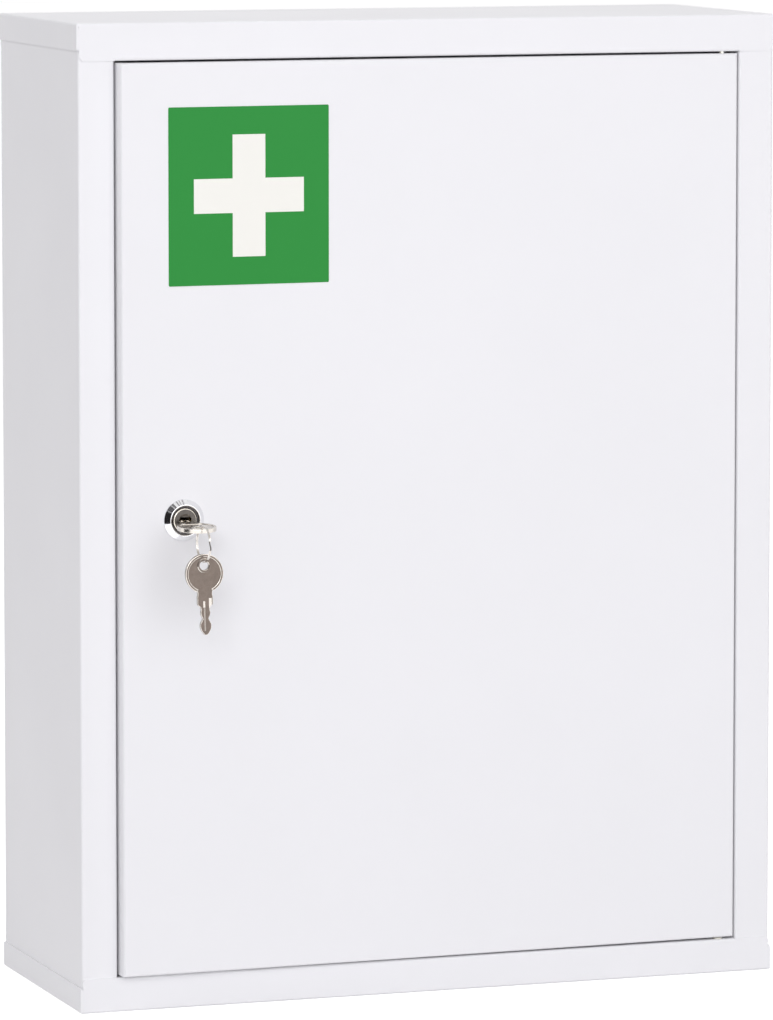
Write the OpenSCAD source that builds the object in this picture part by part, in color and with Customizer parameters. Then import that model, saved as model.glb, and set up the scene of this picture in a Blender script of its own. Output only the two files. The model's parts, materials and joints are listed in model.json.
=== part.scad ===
// Lockable medicine cabinet, folded from painted sheet steel.
// A top and a bottom cap slip over two side panels and a back panel. The door turns on two
// short pins near its right edge, and a cam lock with two keys on a ring holds its left edge.
// Millimetres. The origin is the centre of the underside, +X runs to the right, +Y towards
// the wall and +Z up. The door stands a little ajar, within the play of its lock.

/* [Cabinet] */
// Outer width, over the side flanges of the caps
cabinet_w = 346; // [320:1:400]
// Outer depth, over the front and rear flanges of the caps
cabinet_d = 131; // [120:1:170]
// Outer height
cabinet_h = 460; // [440:1:560]
// Thickness of the sheet
sheet = 0.8; // [0.7:0.1:0.9]
// Outer radius of a fold
fold_r = 1.2; // [1.1:0.1:1.6]
// Height of the top cap's front and rear flanges
top_front_h = 17.5; // [16:0.5:22]
// Height of the top cap's side flanges
top_side_h = 12.7; // [11:0.1:14]
// Height of the bottom cap's front and rear flanges
bottom_front_h = 16.1; // [16:0.1:22]
// Height of the bottom cap's side flanges
bottom_side_h = 12; // [11:0.1:14]
// Depth of the lips of the caps, over and under the door
cap_lip = 12.2; // [10:0.1:12.4]
// Depth of the lips of the side panels, beside the door
stile_lip = 12.9; // [12.9:0.1:13.4]
// From the outside of the cabinet to the side of the door opening
stile_w = 18.2; // [17:0.1:20]

/* [Door] */
// Gap between the door and its opening
door_gap = 1; // [0.9:0.1:1.4]
// Depth of the door's folded edge
door_d = 11; // [10:0.5:11]
// Angle by which the door stands ajar
door_ajar = 1.2; // [0:0.1:1.3]
// How far the closed door's face lies behind the front of the caps
door_setback = 0.2; // [0:0.1:0.5]
// From the door's right edge to the hinge pins
hinge_inset = 7; // [6.5:0.1:9]
// From the door's face back to the hinge pins
hinge_depth = 3.2; // [3:0.1:3.4]
// Diameter of a hinge pin
hinge_pin_dia = 3; // [2.8:0.1:3]

/* [Sign] */
// Width of the first-aid sign
sign_w = 78.4; // [60:0.1:100]
// Height of the first-aid sign
sign_h = 82.6; // [60:0.1:100]
// From the door's left edge to the sign
sign_left = 22.8; // [15:0.1:40]
// From the door's top edge to the sign
sign_top = 20.5; // [15:0.1:40]
// Width of the cross
cross_w = 53.8; // [40:0.1:58]
// Height of the cross
cross_h = 56.6; // [40:0.1:60]
// Breadth of the cross's arms
cross_arm = 16; // [10:0.1:20]
// Thickness of the sign
sign_t = 0.2; // [0.15:0.05:0.3]
// Corner radius of the sign
sign_corner = 0.6; // [0.2:0.1:3]

/* [Lock] */
// From the door's left edge to the axis of the lock
lock_left = 29.7; // [28:0.1:32]
// Height of the lock's axis over the underside
lock_z = 229.9; // [205:0.1:250]
// Diameter of the bezel at the door's face
bezel_dia = 19.4; // [18.5:0.1:20]
// Height of the bezel over the door's face
bezel_h = 3.1; // [3:0.1:3.6]
// Diameter of the threaded barrel
barrel_dia = 16; // [15:0.1:16]
// Width across the barrel's two flats
barrel_flats = 14; // [13:0.1:14]
// From the door's face back to the cam
cam_depth = 21.5; // [21.5:0.1:22]
// Length of the cam from the lock's axis to its tip
cam_reach = 36; // [34:0.5:37]
// Width of the cam
cam_w = 12; // [10:0.5:13]

/* [Keys] */
// Diameter of a key's round bow
bow_dia = 18.2; // [17.8:0.1:18.4]
// Thickness of the bow and the neck
bow_t = 2; // [1.8:0.1:2]
// Thickness of the blade
blade_t = 1.6; // [1.4:0.1:1.6]
// From the centre of the bow to the tip of the blade
key_reach = 28.4; // [28.2:0.1:28.8]
// How far the key's blade is in the lock
key_inserted = 12; // [11.6:0.1:12]
// Angle by which the inserted key hangs down in the worn keyway
key_droop = 3.6; // [0:0.2:3.6]
// Mean radius of the key ring
ring_r = 8.4; // [8.3:0.1:8.5]
// Diameter of the ring's wire, which lies in two coils side by side
ring_wire = 0.6; // [0.5:0.05:0.6]
// Angle by which the ring turns out of the lock's upright plane
ring_turn = 2.5; // [0:0.5:6]
// Angle by which the spare key hangs out of plumb
spare_tilt = 1.6; // [0:0.1:2]

/* [Inside] */
// Height of the lower shelf's top
lower_shelf_z = 152; // [140:1:160]
// Height of the upper shelf's top
upper_shelf_z = 304; // [290:1:320]
// From the front of the cabinet back to a shelf's front edge
shelf_setback = 35.5; // [34:0.5:60]
// Height of a shelf's front and rear lips
shelf_lip = 14; // [10:0.5:18]

/* [Wall holes] */
// Distance between the wall holes across the cabinet
wall_hole_w = 240; // [160:5:280]
// Distance between the wall holes up the cabinet
wall_hole_h = 340; // [300:5:360]
// Diameter of a wall hole
wall_hole_dia = 7; // [5:0.5:9]

/* [Hidden] */
$fn = 64;
over = 1;                                   // how far a cutter runs past what it cuts
part_gap = 0.1;                             // daylight between pieces that nearly meet

// Cabinet planes
half_w = cabinet_w / 2;
half_d = cabinet_d / 2;
body_half_w = half_w - sheet;               // outside of the side panels
stile_front = -half_d + sheet;              // front of the side panels' stiles
back_outside = half_d - sheet;              // outside of the back panel
opening_half_w = half_w - stile_w;
opening_top = cabinet_h - top_front_h;
opening_bottom = bottom_front_h;
rear_flange = 15;                           // width of the side panels' rear flanges
panel_gap = 0.5;                            // from the panels' ends to the caps' plates
cap_seam = 0.25;                            // slit between a cap's front and side flanges
seam_end = 0.3;                             // from the slit's end to the cap's fold
top_corner = 1.3;                           // corner radius of the top cap's side flanges
bottom_corner = 2;                          // corner radius of the bottom cap's flanges
chamfer_w = 1.6;                            // chamfer of the top cap's front flange
chamfer_h = 2.1;
stop_w = 8;                                 // width of the door stop on the left stile
stop_front = stile_front + stile_lip - sheet;
bumper_t = 1.5;
bumper_dia = 7;
bumper_from_end = 45;

// Door planes, with the door closed
door_face = -half_d + door_setback;
door_w = 2 * (opening_half_w - door_gap);
door_h = opening_top - opening_bottom - 2 * door_gap;
door_left = -door_w / 2;
door_bottom = opening_bottom + door_gap;
door_top = opening_top - door_gap;
door_return = 8;                            // width of the lips behind the door's edges
hinge_x = door_w / 2 - hinge_inset;
hinge_y = door_face + hinge_depth;
pin_fit = 0.05;                             // running clearance of the pins in the door
pin_seat = 0.02;                            // clearance of the pins in the caps' lips
pin_in_door = 3;                            // how far a pin stands into the door
pin_head_dia = 4.2;
pin_head_h = 1.2;
washer_dia = 5.2;
washer_bore = 3.2;
washer_t = 0.8;

// Lock, along its own axis: 0 is the door's face, positive is out towards the front
lock_x = door_left + lock_left;
bezel_foot = 0.5;                           // straight edge of the bezel at the door
bezel_soft = 0.35;                          // rounding of the bezel's rim and foot
bezel_rim_r = 7.6;
bezel_groove_r = 6.9;
bezel_groove_z = 1.9;
bezel_draft = 0.1;                          // the groove narrows by this towards its floor
plug_head_r = 6;
plug_face = 2.6;
plug_step = 0.2;                            // where the plug's head meets its body
plug_r = 5.5;
plug_fit = 0.06;
plug_chamfer = 0.5;
barrel_end = cam_depth - 0.3;
drive = 7;                                  // side of the plug's square end
drive_fit = 0.06;
cam_t = 2;
cam_eye_r = 9;
cam_washer_r = 6;                           // washer under the head of the cam's screw
cam_washer_t = 0.9;
cam_head_r = 3.8;
cam_head_h = 2.5;                           // head and washer together
cam_head_soft = 0.8;
recess_w = 3.6;                             // cross recess in the head
recess_t = 0.8;
recess_depth = 1.1;
nut_flats = 21;
nut_t = 3.5;
barrel_hole_fit = 0.15;
keyway_w = 5.7;
keyway_h = 3.1;
keyway_depth = 12.4;
keyway_ring_r = 2.9;
keyway_ring_depth = 0.4;
wafer_count = 3;
wafer_pitch = 2;
wafer_first = -0.8;
wafer_t = 0.7;
wafer_slot_t = 0.9;
wafer_r = plug_r - 0.2;
wafer_h = 5;
wafer_slot_h = 5.2;
wafer_window_w = 6;
wafer_window_h = 2.8;

// Keys, along a key's own axis: 0 is the bow's centre, positive is away from the blade
bow_r = bow_dia / 2;
bow_out = key_reach - key_inserted;         // bow's centre in front of the plug's face
bow_hole_at = 3.8;
bow_hole_r = 2.2;
bow_boss_r = 3.3;
bow_rim = 1.4;
bow_recess = 0.3;
neck_w = 7.4;
neck_end = -15.3;
neck_bevel = 1.1;
groove_w = 0.9;
groove_depth = 0.3;
groove_end = 1.6;                           // from the groove's end to the blade's tip
droop_pivot = key_inserted / 2;             // the blade tilts about the middle of its hold
key_drop = 0.3;                             // how far the blade has sunk in the keyway
web_mid = (bow_hole_at + bow_hole_r + bow_r) / 2;

// Ring: it passes down through the bow's hole and up outside the bow's rim
wire_r = ring_wire / 2;
web_arm = droop_pivot + bow_out + web_mid;
web_y = -key_drop - web_arm * sin(key_droop);
web_out = plug_face - droop_pivot + web_arm * cos(key_droop);
ring_hang = 6.9;                            // bow's upper face over the ring's centre
hole_leg = 4.5;                             // web's middle to the leg in the bow's hole
leg_reach = sqrt(pow(ring_r, 2) - pow(ring_hang - bow_t / 2, 2));
ring_x = leg_reach * sin(ring_turn);
ring_y = web_y + bow_t / 2 - ring_hang;
ring_out = web_out - hole_leg + leg_reach * cos(ring_turn);
spare_slack = 0.45;                         // daylight over the wire, for the coils to turn in
spare_y = -(bow_hole_r - wire_r - spare_slack) - bow_hole_at;

// Shelves
shelf_gap = 0.3;                            // from a shelf to the sides and the back
shelf_half_w = body_half_w - sheet - shelf_gap;
shelf_front = -half_d + shelf_setback;
shelf_back = back_outside - 2 * sheet - shelf_gap;
bracket_leg = 12;
bracket_t = 1;
bracket_inset = 8;                          // from a shelf's edge to its brackets' ends
bracket_front = shelf_front + bracket_inset;
bracket_back = shelf_back - bracket_inset;
screw_r = 1.9;
screw_hole_r = 2.1;
screw_head_r = 3.6;
screw_head_h = 1.6;
screw_l = 6;
screw_from_side = 6.5;                      // from a shelf's side edge to its screws
screw_from_end = 12;                        // from a bracket's end to its screw
screw_x = shelf_half_w - screw_from_side;
screw_ys = [bracket_front + screw_from_end, bracket_back - screw_from_end];

paint = "whitesmoke";
bare_steel = "silver";
chrome = "gainsboro";
key_metal = "rosybrown";

// ---- Shapes that repeat ----

// Outline that stands on the X axis, with its two upper corners round
module arch_outline(w, h, r) {
    translate([-w / 2, 0]) square([w, h - r]);
    translate([-w / 2 + r, 0]) square([w - 2 * r, h]);
    for (side = [-1, 1]) translate([side * (w / 2 - r), h - r]) circle(r);
}

// Box with round upper edges, its base on the XY plane
module soft_topped_box(w, l, h, r) {
    intersection() {
        rotate([90, 0, 0]) linear_extrude(l, center = true) arch_outline(w, h, r);
        rotate([90, 0, 90]) linear_extrude(w, center = true) arch_outline(l, h, r);
    }
}

// Folded tray that lies upside down: its plate is on top and its edges point down
module folded_tray(w, l, h) {
    difference() {
        soft_topped_box(w, l, h, fold_r);
        translate([0, 0, -over])
            soft_topped_box(w - 2 * sheet, l - 2 * sheet, h - sheet + over, fold_r - sheet);
    }
}

// Rectangle from one corner to the other, with its four corners round
module round_rectangle(low, high, r) {
    translate([low.x + r, low.y]) square([high.x - low.x - 2 * r, high.y - low.y]);
    translate([low.x, low.y + r]) square([high.x - low.x, high.y - low.y - 2 * r]);
    for (x = [low.x + r, high.x - r], y = [low.y + r, high.y - r]) translate([x, y]) circle(r);
}

// What rounding takes off a square corner at the origin that points to -X and -Y
module corner_waste(r) {
    difference() {
        translate([-over, -over]) square(r + over);
        translate([r, r]) circle(r);
    }
}

// Quarter of a bent sheet, from the -Y side round to the -Z side, centred on X
module quarter_fold(l) {
    rotate([90, 0, 90]) linear_extrude(l, center = true)
        difference() {
            intersection() {
                circle(fold_r);
                translate([-fold_r, -fold_r]) square(fold_r);
            }
            circle(fold_r - sheet);
        }
}

// Places what is drawn for the closed door on the door as it stands ajar
module on_door() {
    translate([hinge_x, hinge_y, 0]) rotate([0, 0, door_ajar])
        translate([-hinge_x, -hinge_y, 0]) children();
}

// Places what is drawn along the lock's own axis: Z out of the door, Y up
module at_lock() {
    on_door() translate([lock_x, door_face, lock_z]) rotate([90, 0, 0]) children();
}

// ---- Caps ----

// Cap with its plate on top and the lower edge of its front flange on the XY plane
module cap(front_h, side_h) {
    side_cut = front_h - side_h;
    seam_top = front_h - fold_r - seam_end;
    lip_half_w = opening_half_w - part_gap;
    difference() {
        folded_tray(cabinet_w, cabinet_d, front_h);
        for (side = [-1, 1]) {
            // below the side flanges
            translate([side * (half_w - sheet / 2 + over / 2), 0, side_cut / 2 - over / 2])
                cube([sheet + over, cabinet_d + 2 * over, side_cut + over], center = true);
            // slits between the flanges, at the front and at the back
            translate([side * (body_half_w - cap_seam / 2), 0, (seam_top - over) / 2])
                cube([cap_seam, cabinet_d + 2 * over, seam_top + over], center = true);
        }
        // room for the lip
        translate([-lip_half_w, -half_d - over, -over])
            cube([2 * lip_half_w, sheet + over, fold_r + over]);
    }
    translate([0, -half_d + fold_r, fold_r]) quarter_fold(2 * lip_half_w);
    difference() {
        translate([-lip_half_w, -half_d + fold_r, 0])
            cube([2 * lip_half_w, sheet + cap_lip - fold_r, sheet]);
        translate([hinge_x, hinge_y, -over])
            cylinder(r = hinge_pin_dia / 2 + pin_seat, h = sheet + 2 * over);
    }
}

// Rounds the free corners of a cap's side flanges, at the front and at the back
module side_flange_corners(front_h, side_h, r) {
    for (side = [-1, 1], end = [0, 1])
        translate([side * (half_w - sheet / 2), 0, front_h - side_h])
            mirror([0, end, 0]) translate([0, -half_d, 0])
                rotate([90, 0, 90]) linear_extrude(sheet + over, center = true)
                    corner_waste(r);
}

module top_cap() {
    color(paint) translate([0, 0, cabinet_h - top_front_h]) difference() {
        cap(top_front_h, top_side_h);
        side_flange_corners(top_front_h, top_side_h, top_corner);
        // chamfered lower corners of the front and rear flanges
        for (side = [0, 1]) mirror([side, 0, 0]) translate([body_half_w - cap_seam, 0, 0])
            rotate([90, 0, 0]) linear_extrude(cabinet_d + 2 * over, center = true)
                polygon([[-chamfer_w, 0], [-chamfer_w, -over], [over / 2, -over],
                         [over / 2, chamfer_h], [0, chamfer_h]]);
    }
}

module bottom_cap() {
    color(paint) translate([0, 0, bottom_front_h]) mirror([0, 0, 1]) difference() {
        cap(bottom_front_h, bottom_side_h);
        side_flange_corners(bottom_front_h, bottom_side_h, bottom_corner);
        // round upper corners of the front and rear flanges
        for (side = [0, 1]) mirror([side, 0, 0]) translate([-body_half_w + cap_seam, 0, 0])
            rotate([90, 0, 0]) linear_extrude(cabinet_d + 2 * over, center = true)
                intersection() {
                    corner_waste(bottom_corner);
                    translate([-over / 2, -over]) square(bottom_corner + 2 * over);
                }
    }
}

// ---- Sides and back ----

// Section of the right side panel: stile and lip at the front, flange at the back
module side_section() {
    low = [opening_half_w, stile_front];
    high = [body_half_w, back_outside - sheet];
    difference() {
        round_rectangle(low, high, fold_r);
        round_rectangle(low + [sheet, sheet], high - [sheet, sheet], fold_r - sheet);
        translate([low.x - over, low.y + stile_lip])
            square([stile_w - sheet - rear_flange + over, cabinet_d]);
    }
}

module side_panel() {
    translate([0, 0, sheet + panel_gap])
        linear_extrude(cabinet_h - 2 * (sheet + panel_gap)) side_section();
}

module left_side_panel() {
    color(paint) {
        mirror([1, 0, 0]) side_panel();
        translate([-opening_half_w - sheet, stop_front, door_bottom])
            cube([stop_w + sheet, sheet, door_h]);
    }
}

module right_side_panel() {
    color(paint) side_panel();
}

module back_panel() {
    color(paint) difference() {
        translate([0, back_outside - sheet / 2, cabinet_h / 2])
            cube([2 * (body_half_w - part_gap), sheet, cabinet_h - 2 * (sheet + panel_gap)],
                 center = true);
        for (x = [-1, 1], z = [-1, 1])
            translate([x * wall_hole_w / 2, half_d + over, cabinet_h / 2 + z * wall_hole_h / 2])
                rotate([90, 0, 0]) cylinder(d = wall_hole_dia, h = 4 * sheet + over);
    }
}

// ---- Shelves ----

module shelf(top) {
    depth = shelf_back - shelf_front;
    difference() {
        translate([0, (shelf_front + shelf_back) / 2, top - shelf_lip])
            rotate([90, 0, 90]) linear_extrude(2 * shelf_half_w, center = true)
                difference() {
                    arch_outline(depth, shelf_lip, fold_r);
                    translate([0, -over])
                        arch_outline(depth - 2 * sheet, shelf_lip - sheet + over,
                                     fold_r - sheet);
                }
        for (side = [-1, 1], y = screw_ys)
            translate([side * screw_x, y, top - sheet - over])
                cylinder(r = screw_hole_r, h = sheet + 2 * over);
    }
}

module upper_shelf() {
    color(paint) shelf(upper_shelf_z);
}

module lower_shelf() {
    color(paint) shelf(lower_shelf_z);
}

// Angle bracket on the right side panel, under a shelf whose underside is at z
module bracket(z) {
    wall = body_half_w - sheet;
    l = bracket_back - bracket_front;
    difference() {
        union() {
            translate([wall - bracket_leg, bracket_front, z - bracket_t])
                cube([bracket_leg, l, bracket_t]);
            translate([wall - bracket_t, bracket_front, z - bracket_leg])
                cube([bracket_t, l, bracket_leg]);
        }
        for (y = screw_ys) translate([screw_x, y, z - bracket_t - over])
            cylinder(r = screw_hole_r, h = bracket_t + 2 * over);
    }
}

module shelf_brackets() {
    color(bare_steel) for (side = [0, 1], top = [lower_shelf_z, upper_shelf_z])
        mirror([side, 0, 0]) bracket(top - sheet);
}

module shelf_screw() {
    translate([0, 0, -screw_l]) cylinder(r = screw_r, h = screw_l);
    rotate_extrude() polygon([[0, 0], [screw_head_r, 0], [screw_head_r, screw_head_h / 2],
                              [screw_head_r * 0.7, screw_head_h], [0, screw_head_h]]);
}

module shelf_screws() {
    color(bare_steel) for (side = [-1, 1], y = screw_ys, top = [lower_shelf_z, upper_shelf_z])
        translate([side * screw_x, y, top]) shelf_screw();
}

// ---- Hinge and stops ----

// Pin whose head rests on Z = 0 and whose shank points down
module hinge_pin() {
    shank = sheet + door_gap + pin_in_door;
    translate([0, 0, -shank]) cylinder(d = hinge_pin_dia, h = shank);
    rotate_extrude() polygon([[0, 0], [pin_head_dia / 2, 0],
                              [pin_head_dia / 2, pin_head_h / 2],
                              [pin_head_dia / 4, pin_head_h], [0, pin_head_h]]);
}

module upper_hinge_pin() {
    color(bare_steel) translate([hinge_x, hinge_y, opening_top + sheet]) hinge_pin();
}

module lower_hinge_pin() {
    color(bare_steel) translate([hinge_x, hinge_y, opening_bottom - sheet])
        mirror([0, 0, 1]) hinge_pin();
}

module hinge_washer() {
    color(bare_steel) translate([hinge_x, hinge_y, opening_bottom]) difference() {
        cylinder(d = washer_dia, h = washer_t);
        translate([0, 0, -over]) cylinder(d = washer_bore, h = washer_t + 2 * over);
    }
}

module door_bumpers() {
    x = -opening_half_w + stop_w / 2;
    color("dimgray") for (z = [door_bottom + bumper_from_end, door_top - bumper_from_end])
        translate([x, stop_front, z]) rotate([90, 0, 0])
            cylinder(d1 = bumper_dia, d2 = bumper_dia - 1, h = bumper_t);
}

// ---- Door ----

// Hole or outline of the barrel: a disc with two flats, left and right
module barrel_outline(clear) {
    intersection() {
        circle(d = barrel_dia + 2 * clear);
        square([barrel_flats + 2 * clear, barrel_dia + 2 * clear + over], center = true);
    }
}

module door_panel() {
    mid_z = (door_bottom + door_top) / 2;
    color(paint) on_door() difference() {
        union() {
            translate([0, door_face + door_d, mid_z]) rotate([90, 0, 0])
                folded_tray(door_w, door_h, door_d);
            // lips behind the left and the right edge
            for (side = [-1, 1])
                translate([side * (door_w / 2 - door_return / 2),
                           door_face + door_d - sheet / 2, mid_z])
                    cube([door_return, sheet, door_h - 2 * sheet], center = true);
        }
        translate([hinge_x, hinge_y, door_bottom - over])
            cylinder(r = hinge_pin_dia / 2 + pin_fit, h = sheet + 2 * over);
        translate([hinge_x, hinge_y, door_top - sheet - over])
            cylinder(r = hinge_pin_dia / 2 + pin_fit, h = sheet + 2 * over);
        translate([lock_x, door_face + sheet + over, lock_z]) rotate([90, 0, 0])
            linear_extrude(sheet + 2 * over) barrel_outline(barrel_hole_fit);
    }
}

module sign_outline() {
    round_rectangle([-sign_w / 2, -sign_h / 2], [sign_w / 2, sign_h / 2],
                    sign_corner);
}

module cross_outline() {
    square([cross_w, cross_arm], center = true);
    square([cross_arm, cross_h], center = true);
}

// Places the sign's flat parts on the door's face
module on_sign() {
    on_door() translate([door_left + sign_left + sign_w / 2, door_face,
                         door_top - sign_top - sign_h / 2])
        rotate([90, 0, 0]) linear_extrude(sign_t) children();
}

module first_aid_label() {
    color("seagreen") on_sign() difference() {
        sign_outline();
        cross_outline();
    }
}

module first_aid_cross() {
    color("ivory") on_sign() cross_outline();
}

// ---- Lock ----

module lock_body() {
    bezel_r = bezel_dia / 2;
    color(chrome) at_lock() {
        // bezel: a cone with a round rim and a groove round the plug
        rotate_extrude()
            polygon([[plug_head_r + plug_fit, 0], [bezel_r, 0], [bezel_r, bezel_foot],
                     [bezel_r - bezel_soft, bezel_foot + bezel_soft],
                     [bezel_rim_r, bezel_h - bezel_soft],
                     [bezel_rim_r - bezel_soft, bezel_h], [bezel_groove_r, bezel_h],
                     [bezel_groove_r - bezel_draft, bezel_groove_z],
                     [plug_head_r + plug_fit, bezel_groove_z]]);
        // barrel, bored for the plug
        difference() {
            translate([0, 0, -barrel_end]) linear_extrude(barrel_end) barrel_outline(0);
            translate([0, 0, -barrel_end - over])
                cylinder(r = plug_r + plug_fit, h = barrel_end + 2 * over);
            translate([0, 0, -plug_fit])
                cylinder(r = plug_head_r + plug_fit, h = over);
        }
    }
}

module lock_nut() {
    color(bare_steel) at_lock() translate([0, 0, -sheet - nut_t]) difference() {
        cylinder(r = nut_flats / 2 / cos(30), h = nut_t, $fn = 6);
        translate([0, 0, -over]) cylinder(d = barrel_dia + part_gap, h = nut_t + 2 * over);
    }
}

// Heights of the wafers along the plug
function wafer_z(i) = wafer_first - i * wafer_pitch;

module lock_plug() {
    color("dimgray") at_lock() difference() {
        union() {
            rotate_extrude() polygon([[0, plug_step], [plug_head_r, plug_step],
                                      [plug_head_r, plug_face - plug_chamfer],
                                      [plug_head_r - plug_chamfer, plug_face],
                                      [0, plug_face]]);
            translate([0, 0, -cam_depth]) cylinder(r = plug_r, h = cam_depth + plug_step);
            translate([0, 0, -cam_depth - (cam_t - part_gap) / 2])
                cube([drive, drive, cam_t - part_gap], center = true);
        }
        translate([0, 0, plug_face - keyway_depth / 2 + over / 2])
            cube([keyway_w, keyway_h, keyway_depth + over], center = true);
        translate([0, 0, plug_face - keyway_ring_depth])
            cylinder(r = keyway_ring_r, h = keyway_ring_depth + over);
        for (i = [0 : wafer_count - 1]) translate([0, 0, wafer_z(i)])
            cube([4 * plug_r, wafer_slot_h, wafer_slot_t], center = true);
        translate([0, 0, -cam_depth - cam_t - over])
            cylinder(r = screw_r, h = cam_t + over + screw_l);
    }
}

module tumbler_wafers() {
    color("goldenrod") at_lock() for (i = [0 : wafer_count - 1]) translate([0, 0, wafer_z(i)])
        difference() {
            intersection() {
                cube([4 * plug_r, wafer_h, wafer_t], center = true);
                cylinder(r = wafer_r, h = 2 * wafer_t, center = true);
            }
            cube([wafer_window_w, wafer_window_h, 2 * wafer_t], center = true);
        }
}

module lock_cam() {
    color(bare_steel) at_lock() translate([0, 0, -cam_depth - cam_t])
        linear_extrude(cam_t) difference() {
            union() {
                circle(cam_eye_r);
                translate([-cam_w / 2, -cam_reach + cam_w / 4]) square([cam_w, cam_reach]);
                translate([-cam_w / 4, -cam_reach]) square([cam_w / 2, cam_w / 4]);
                for (side = [-1, 1]) translate([side * cam_w / 4, -cam_reach + cam_w / 4])
                    circle(cam_w / 4);
            }
            square(drive + 2 * drive_fit, center = true);
            // what stands above the eye
            translate([-cam_w, cam_eye_r]) square([2 * cam_w, cam_w]);
        }
}

module cam_screw() {
    color(bare_steel) at_lock() translate([0, 0, -cam_depth - cam_t]) {
        mirror([0, 0, 1]) difference() {
            rotate_extrude()
                polygon([[0, 0], [cam_washer_r, 0], [cam_washer_r, cam_washer_t],
                         [cam_head_r, cam_washer_t], [cam_head_r, cam_head_h - cam_head_soft],
                         [cam_head_r - cam_head_soft, cam_head_h], [0, cam_head_h]]);
            for (turn = [0, 90]) rotate([0, 0, turn])
                translate([0, 0, cam_head_h - recess_depth / 2 + over / 2])
                    cube([recess_w, recess_t, recess_depth + over], center = true);
        }
        cylinder(r = screw_r - pin_fit, h = screw_l);
    }
}

// ---- Keys and ring ----

// Half outline of the blade, from the neck to the tip: [half width, place along the key]
blade_half = [[2.3, neck_end + 1], [2.3, -16.1], [2.05, -16.8], [2.3, -17.8],
              [2.25, -18.6], [2, -19.5], [1.55, -20.4], [1.55, -21.2], [2.2, -22.4],
              [2.6, -23.4], [2.65, -24.4], [2.5, -25.4], [2, -26.6], [1.3, -27.6],
              [0.6, -key_reach]];

module blade_outline() {
    mirrored = [for (i = [len(blade_half) - 1 : -1 : 0]) [-blade_half[i].x, blade_half[i].y]];
    polygon(concat(blade_half, mirrored));
}

module neck_outline() {
    polygon([[-neck_w / 2, -bow_r / 2], [neck_w / 2, -bow_r / 2],
             [neck_w / 2, neck_end + neck_bevel], [neck_w / 2 - neck_bevel, neck_end],
             [-neck_w / 2 + neck_bevel, neck_end], [-neck_w / 2, neck_end + neck_bevel]]);
}

// Key in its own plane: X across, Z along, Y through its thickness, blade towards -Z
module key() {
    difference() {
        rotate([90, 0, 0]) {
            linear_extrude(bow_t, center = true) circle(bow_r);
            linear_extrude(bow_t, center = true) neck_outline();
            linear_extrude(blade_t, center = true) blade_outline();
        }
        translate([0, 0, bow_hole_at]) rotate([90, 0, 0])
            cylinder(r = bow_hole_r, h = bow_t + over, center = true);
        for (face = [0, 1]) mirror([0, face, 0]) {
            // sunk middle of the bow, inside its rim and round the boss of the hole
            translate([0, bow_t / 2 - bow_recess, 0]) rotate([-90, 0, 0])
                linear_extrude(over) difference() {
                    circle(bow_r - bow_rim);
                    translate([0, -bow_hole_at]) circle(bow_boss_r);
                }
            // groove milled along the blade
            translate([-groove_w / 2, blade_t / 2 - groove_depth, -key_reach + groove_end])
                cube([groove_w, over, key_reach - bow_r - groove_end]);
        }
    }
}

module lock_key() {
    color(key_metal) at_lock() translate([0, -key_drop, plug_face - droop_pivot])
        rotate([key_droop, 0, 0]) translate([0, 0, droop_pivot + bow_out]) key();
}

module key_ring() {
    color(bare_steel) at_lock() translate([ring_x, ring_y, ring_out])
        rotate([0, ring_turn + 90, 0]) rotate_extrude() translate([ring_r, 0]) {
            square([ring_wire, ring_wire], center = true);
            for (coil = [-1, 1]) translate([0, coil * wire_r]) circle(wire_r, $fn = 24);
        }
}

// The spare key hangs on the ring, blade down and flat to the door
module spare_key() {
    color(key_metal) at_lock() translate([ring_x, ring_y - ring_r, ring_out])
        rotate([0, 0, spare_tilt]) translate([0, spare_y, 0]) rotate([-90, 0, 0]) key();
}

top_cap();
bottom_cap();
left_side_panel();
right_side_panel();
back_panel();
upper_shelf();
lower_shelf();
shelf_brackets();
shelf_screws();
upper_hinge_pin();
lower_hinge_pin();
hinge_washer();
door_bumpers();
door_panel();
first_aid_label();
first_aid_cross();
lock_body();
lock_nut();
lock_plug();
tumbler_wafers();
lock_cam();
cam_screw();
lock_key();
key_ring();
spare_key();
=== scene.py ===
import json
import math

import bpy
from mathutils import Matrix, Vector


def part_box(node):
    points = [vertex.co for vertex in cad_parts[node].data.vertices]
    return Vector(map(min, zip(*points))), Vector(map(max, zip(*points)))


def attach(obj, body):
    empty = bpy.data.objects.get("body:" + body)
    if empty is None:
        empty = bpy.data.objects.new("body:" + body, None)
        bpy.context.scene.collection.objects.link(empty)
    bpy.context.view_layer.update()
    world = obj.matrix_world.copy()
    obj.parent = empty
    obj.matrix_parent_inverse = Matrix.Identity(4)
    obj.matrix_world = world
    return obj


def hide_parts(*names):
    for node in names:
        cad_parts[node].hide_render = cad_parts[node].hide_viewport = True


# Looks of a lockable medicine cabinet: folded sheet steel under white powder coat, a printed
# first-aid sign, a chrome cam lock, two nickelled keys and a split ring. Metres, in the part's
# frame. Sizes of the small pieces are in millimetres and are turned into metres by MM.

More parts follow.
